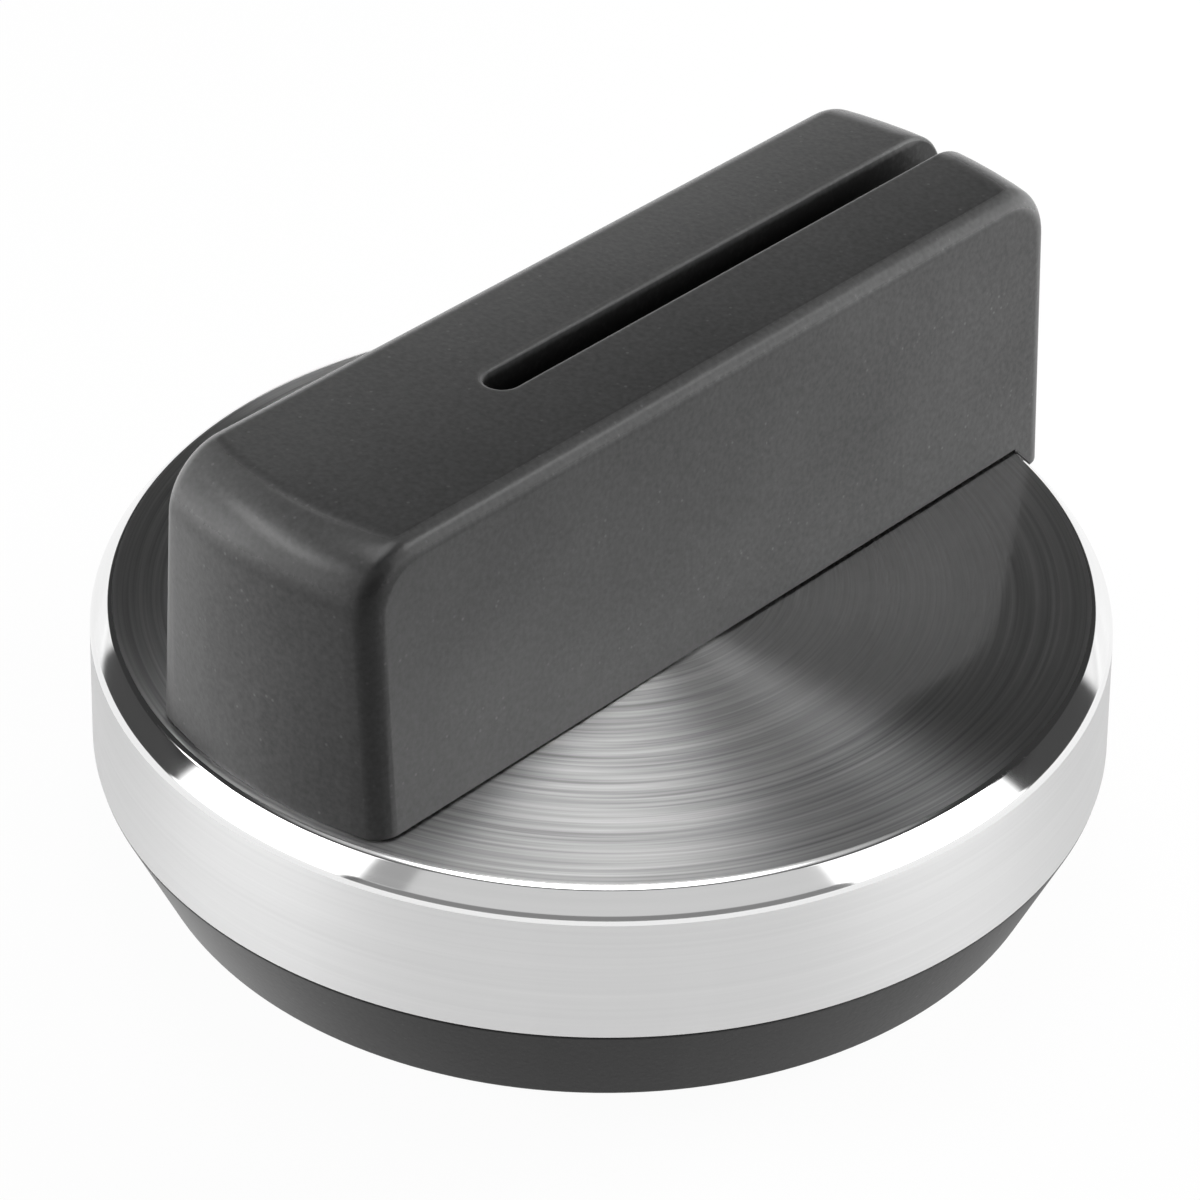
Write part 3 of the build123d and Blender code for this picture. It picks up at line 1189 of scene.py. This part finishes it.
@dataclass
class HubFittings:
    """The steel ring pressed round the hub, and the leaf spring beside the spindle's flat."""

    ring_bore: float = 5.72
    ring_chamfer: float = 0.2
    ring_steps: int = 128
    strip_thickness: float = 0.4
    strip_steps: int = 24

    def build_ring(self) -> bpy.types.Object:
        """Turn the ring and dress it.

        Returns:
            The ring.
        """
        low, high = (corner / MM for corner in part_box("hub_ring"))
        solid = Solid.lathe([
            (self.ring_bore, low.z), (high.x, low.z), (high.x, high.z), (self.ring_bore, high.z)], self.ring_steps)
        for height in (low.z, high.z):
            solid.rounded(on_ring(high.x, height), self.ring_chamfer, 3)
        finish = TurnedMetal("ring_steel", colour=0.6, roughness=0.25, anisotropy=0.4, height_share=1.0).material()
        return solid.piece("press_ring", "hub_ring", "plated_steel", [finish])

    def build_spring(self) -> bpy.types.Object:
        """Bend the strip and dress it.

        Returns:
            The spring.
        """
        low, high = (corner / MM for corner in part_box("spindle_spring"))
        bow = high.y - low.y - self.strip_thickness
        width, length = high.x - low.x, high.z - low.z
        mesh = bmesh.new()
        stand = Matrix.Translation((0, low.y, (low.z + high.z) / 2)) @ Matrix.Rotation(math.pi / 2, 4, "X")
        bmesh.ops.create_grid(mesh, x_segments=2, y_segments=self.strip_steps, size=0.5,
                              matrix=stand @ Matrix.Diagonal((width, length, 1, 1)))
        for vert in mesh.verts:
            along = 2 * (vert.co.z - low.z) / length - 1
            vert.co.y += bow * (1 - along**2)
        bmesh.ops.recalc_face_normals(mesh, faces=mesh.faces)
        facing = sum(face.normal.y for face in mesh.faces)
        bmesh.ops.solidify(mesh, geom=mesh.faces[:], thickness=math.copysign(self.strip_thickness, -facing))
        solid = Solid(mesh).closed_up()
        finish = PlatedSteel("spring_steel", colour=0.4, roughness=0.28).material()
        return solid.piece("leaf_spring", "spindle_spring", "spring_steel", [finish])


@dataclass
class PanScrew:
    """A pan head self-tapping screw, head down."""

    node: str
    head_radius: float = 2.8
    head_height: float = 2.2
    head_fillet: float = 1.2
    seat_fillet: float = 0.15
    thread_radius: float = 1.45
    thread_start: float = 0.6
    thread_steps: int = 24
    core_radius: float = 1.1
    pitch: float = 1.1
    ridge_share: float = 0.625
    ridge_sink: float = 0.05
    tip_length: float = 1.2
    tip_radius: float = 0.15
    recess_span: float = 3.2
    recess_width: float = 0.9
    recess_depth: float = 1.3
    recess_taper: float = 0.6
    steps: int = 48

    def build(self, finish: bpy.types.Material) -> bpy.types.Object:
        """Turn the screw, cut its recess and its thread, and dress it.

        Args:
            finish: the material that the screws share.

        Returns:
            The screw.
        """
        low, high = (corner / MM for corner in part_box(self.node))
        seat = low.z + self.head_height
        solid = Solid.lathe([
            (0, low.z), (self.head_radius, low.z), (self.head_radius, seat), (self.core_radius, seat),
            (self.core_radius, high.z - self.tip_length), (self.tip_radius, high.z), (0, high.z),
        ], self.steps, closed=False)
        solid.rounded(on_ring(self.head_radius, low.z), self.head_fillet, 6)
        solid.rounded(on_ring(self.head_radius, seat), self.seat_fillet, 2)
        for turn in (0.0, math.pi / 2):
            slot = Solid.block(
                (self.recess_span, self.recess_width, 2 * self.recess_depth), (0, 0, low.z), turn)
            deep = [vert for vert in slot.mesh.verts if vert.co.z > low.z]
            bmesh.ops.scale(slot.mesh, vec=(self.recess_taper, self.recess_taper, 1), verts=deep)
            solid = solid.minus(slot)
        solid = solid.plus(self._thread(seat + self.thread_start, high.z - self.tip_length))
        bmesh.ops.translate(solid.mesh, vec=(0, (low.y + high.y) / 2, 0), verts=solid.mesh.verts)
        return solid.piece(self.node + "_threaded", self.node, "screw_steel", [finish])

    def _thread(self, low: float, high: float) -> Solid:
        """Wind the thread's ridge.

        Args:
            low: height where it starts.
            high: height where it ends.

        Returns:
            The ridge, its root just inside the core.
        """
        root = self.core_radius - self.ridge_sink
        half = self.pitch * self.ridge_share / 2
        turns = (high - low - 2 * half) / self.pitch
        steps = round(turns * self.thread_steps)
        mesh = bmesh.new()
        corners = [mesh.verts.new(spot) for spot in (
            (root, 0, low), (self.thread_radius, 0, low + half), (root, 0, low + 2 * half))]
        face = mesh.faces.new(corners)
        bmesh.ops.spin(
            mesh, geom=[face, *face.edges, *corners], cent=(0, 0, 0), axis=(0, 0, 1),
            dvec=(0, 0, turns * self.pitch / steps), angle=math.tau * turns, steps=steps, use_duplicate=False)
        return Solid(mesh).closed_up()


# ---------------------------------------------------------------- studio


@dataclass(frozen=True)
class Softbox:
    """A large soft lamp, aimed at the knob, that doesn't show in metal."""

    name: str
    bearing: float
    elevation: float
    distance: float
    size: float
    power: float

    def hang(self, aim: Vector, camera_bearing: float) -> None:
        """Hang the lamp.

        Args:
            aim: what it points at.
            camera_bearing: the camera's bearing, from which the lamp's own is counted.
        """
        bearing = math.radians(camera_bearing + self.bearing)
        elevation = math.radians(self.elevation)
        direction = Vector((math.cos(bearing) * math.cos(elevation), math.sin(bearing) * math.cos(elevation),
                            math.sin(elevation)))
        data = bpy.data.lights.new(self.name, "AREA")
        data.shape = "DISK"
        data.size = self.size
        data.energy = self.power
        lamp = put_in_scene(self.name, data)
        lamp.location = aim + direction * self.distance
        lamp.rotation_euler = direction.to_track_quat("Z", "Y").to_euler()
        lamp.visible_camera = False
        lamp.visible_glossy = False


@dataclass(frozen=True)
class Card:
    """A pale card that only metal and gloss see, placed in degrees: bearings from the camera's, and heights."""

    name: str
    start: float
    end: float
    low: float
    high: float
    brightness: float = 1.0
    soft_sides: float = 4.0
    soft_ends: float = 4.0

    def shining(self, turn: Wire, rise: Wire) -> Wire:
        """Give the card's brightness at a bearing and a height: 0 off the card."""
        width = turn.between(self.start, self.end, self.soft_sides)
        return width * rise.between(self.low, self.high, self.soft_ends) * self.brightness


@dataclass(frozen=True)
class Studio:
    """Pale floor, soft lamps, a plain surround that shows metal its own cards, and the camera."""

    azimuth: float = 42.82
    elevation: float = 35.354
    roll: float = 0.828
    distance: float = 0.2228
    lens: float = 135.68
    sensor_width: float = 36.0
    aim_side: float = -0.000085
    aim_below_edge: float = 0.00019
    edge_height: float = 0.0124
    floor_size: float = 0.24
    floor_tone: float = 0.2
    floor_white: float = 0.96
    plain_level: float = 0.1
    dark_level: float = 0.04
    top_box_forward: float = 0.105
    top_box_up: float = 0.995
    top_box_brightness: float = 4.9
    lamps: tuple[Softbox, ...] = (
        Softbox("overhead", bearing=180, elevation=66, distance=0.6, size=0.36, power=0.95),
        Softbox("left_side", bearing=-94, elevation=6, distance=0.3, size=0.16, power=1.45),
        Softbox("right_side", bearing=112, elevation=6, distance=0.17, size=0.1, power=0.66),
    )
    cards: tuple[Card, ...] = (
        Card("front", -42, 52, 28, 50, brightness=0.64, soft_sides=1, soft_ends=6),
        Card("front_grey", -52, -42, 24, 50, brightness=0.36, soft_sides=1, soft_ends=6),
        Card("front_low", -50, 56, -1, 28, brightness=0.22, soft_sides=6),
        Card("left_wall", -96, -52, 0, 46, brightness=1.6, soft_sides=1.5),
        Card("right_wall", 52, 96, 0, 46, brightness=1.6, soft_sides=1.5),
        Card("left_tube", -108, -62, 30, 41, brightness=6, soft_sides=6, soft_ends=3),
        Card("right_tube", 76, 97, 30, 41, brightness=6, soft_sides=3, soft_ends=3),
        Card("left_glow", -129, -97, -1, 18, brightness=0.03, soft_sides=3),
        Card("right_glow", 97, 125, -1, 18, brightness=0.03, soft_sides=3),
        Card("left_skirting", -200, -129, -1, 8, soft_sides=3),
        Card("right_skirting", 125, 200, -1, 8, soft_sides=3),
        Card("backdrop_left", -200, -170, 8, 26, brightness=1.5, soft_ends=6),
        Card("backdrop_right", 170, 200, 8, 26, brightness=1.5, soft_ends=6),
        Card("back_box", -174, -154, 44, 56, brightness=3),
        Card("ceiling", -200, 200, 60, 120, brightness=0.6, soft_ends=16),
        Card("ground", -200, 200, -120, -1, soft_ends=2),
    )

    @property
    def camera_bearing(self) -> float:
        """Bearing of the camera from the knob, in degrees from +X."""
        return self.azimuth - 90

    def set_camera(self) -> None:
        """Place the camera and make it the scene's."""
        azimuth, elevation, roll = (math.radians(v) for v in (self.azimuth, self.elevation, self.roll))
        back = Vector((math.sin(azimuth) * math.cos(elevation), -math.cos(azimuth) * math.cos(elevation),
                       math.sin(elevation)))
        level = Vector((math.cos(azimuth), math.sin(azimuth), 0))
        upright = back.cross(level)
        right = level * math.cos(roll) + upright * math.sin(roll)
        up = upright * math.cos(roll) - level * math.sin(roll)
        aim = level * self.aim_side + Vector((0, 0, self.edge_height - self.aim_below_edge))
        data = bpy.data.cameras.new("camera")
        data.lens = self.lens
        data.sensor_width = self.sensor_width
        data.clip_start = 0.01
        data.dof.use_dof = False
        camera = put_in_scene("camera", data)
        turn = Matrix((right, up, back)).transposed().to_4x4()
        camera.matrix_world = Matrix.Translation(aim + back * self.distance) @ turn
        bpy.context.scene.camera = camera

    def lay_floor(self) -> None:
        """Lay the floor."""
        mesh = bmesh.new()
        bmesh.ops.create_grid(mesh, x_segments=1, y_segments=1, size=self.floor_size / 2)
        data = bpy.data.meshes.new("floor")
        mesh.to_mesh(data)
        mesh.free()
        floor = put_in_scene("floor", data)
        shader = Shader(bpy.data.materials.new("floor_white"))
        paper, shadowed = (shader.node("ShaderNodeBsdfDiffuse", {}, {"Color": (*grey(tone), 1)}).outputs[0]
                           for tone in (self.floor_tone, 1.0))
        white = shader.node("ShaderNodeEmission", {}, {"Color": (1, 1, 1, 1), "Strength": 1.0}).outputs[0]
        bright = shader.node("ShaderNodeMixShader", {}, {0: self.floor_white, 1: shadowed, 2: white}).outputs[0]
        seen, mirrored = shader.ray_kinds()
        floor_seen = shader.node("ShaderNodeMixShader", {}, {0: seen + mirrored, 1: paper, 2: bright})
        shader.node("ShaderNodeOutputMaterial", {}, {"Surface": floor_seen.outputs[0]})
        data.materials.append(shader.owner)

    def set_world(self) -> None:
        """Make the surround: white to the camera, dark to metal but for its pale cards, plain for the rest."""
        world = bpy.data.worlds.new("surroundings")
        bpy.context.scene.world = world
        shader = Shader(world)
        direction = shader.node("ShaderNodeTexCoord").outputs["Generated"]
        bearing = math.radians(self.camera_bearing)
        ahead = shader.along(direction, (math.cos(bearing), math.sin(bearing), 0))
        across = shader.along(direction, (-math.sin(bearing), math.cos(bearing), 0))
        turn = across.bearing_with(ahead)
        rise = shader.part(direction, "Z").slope()
        above = shader.along(direction, (
            self.top_box_forward * math.cos(bearing), self.top_box_forward * math.sin(bearing), self.top_box_up))
        cards = above.eased(0.905, 0.985) * self.top_box_brightness + self.dark_level
        for card in self.cards:
            cards += card.shining(turn, rise)
        log.info("surround: cards %s", ", ".join(card.name for card in self.cards))
        seen, mirrored = shader.ray_kinds()
        strength = seen + mirrored * cards + (1 - seen - mirrored) * self.plain_level
        background = shader.node("ShaderNodeBackground", {}, {"Color": (1, 1, 1, 1), "Strength": strength})
        shader.node("ShaderNodeOutputWorld", {}, {"Surface": background.outputs[0]})

    def build(self) -> None:
        """Set the studio up round the knob."""
        self.lay_floor()
        self.set_world()
        for lamp in self.lamps:
            lamp.hang(Vector((0, 0, self.edge_height)), self.camera_bearing)
        self.set_camera()
        bpy.context.scene.view_settings.view_transform = "Standard"
        log.info("studio: floor, surroundings, lamps and camera")


def main() -> None:
    """Build the knob's pieces in order, then the studio."""
    logging.basicConfig(level=logging.INFO, format="%(name)s %(message)s")
    BaseMoulding().build()
    MetalCap().build()
    GripBar().build()
    fittings = HubFittings()
    fittings.build_ring()
    fittings.build_spring()
    screw_finish = PlatedSteel("screw_steel").material()
    for node in ("screw_tail", "screw_nose"):
        PanScrew(node).build(screw_finish)
    Studio().build()


if __name__ == "__main__":
    main()
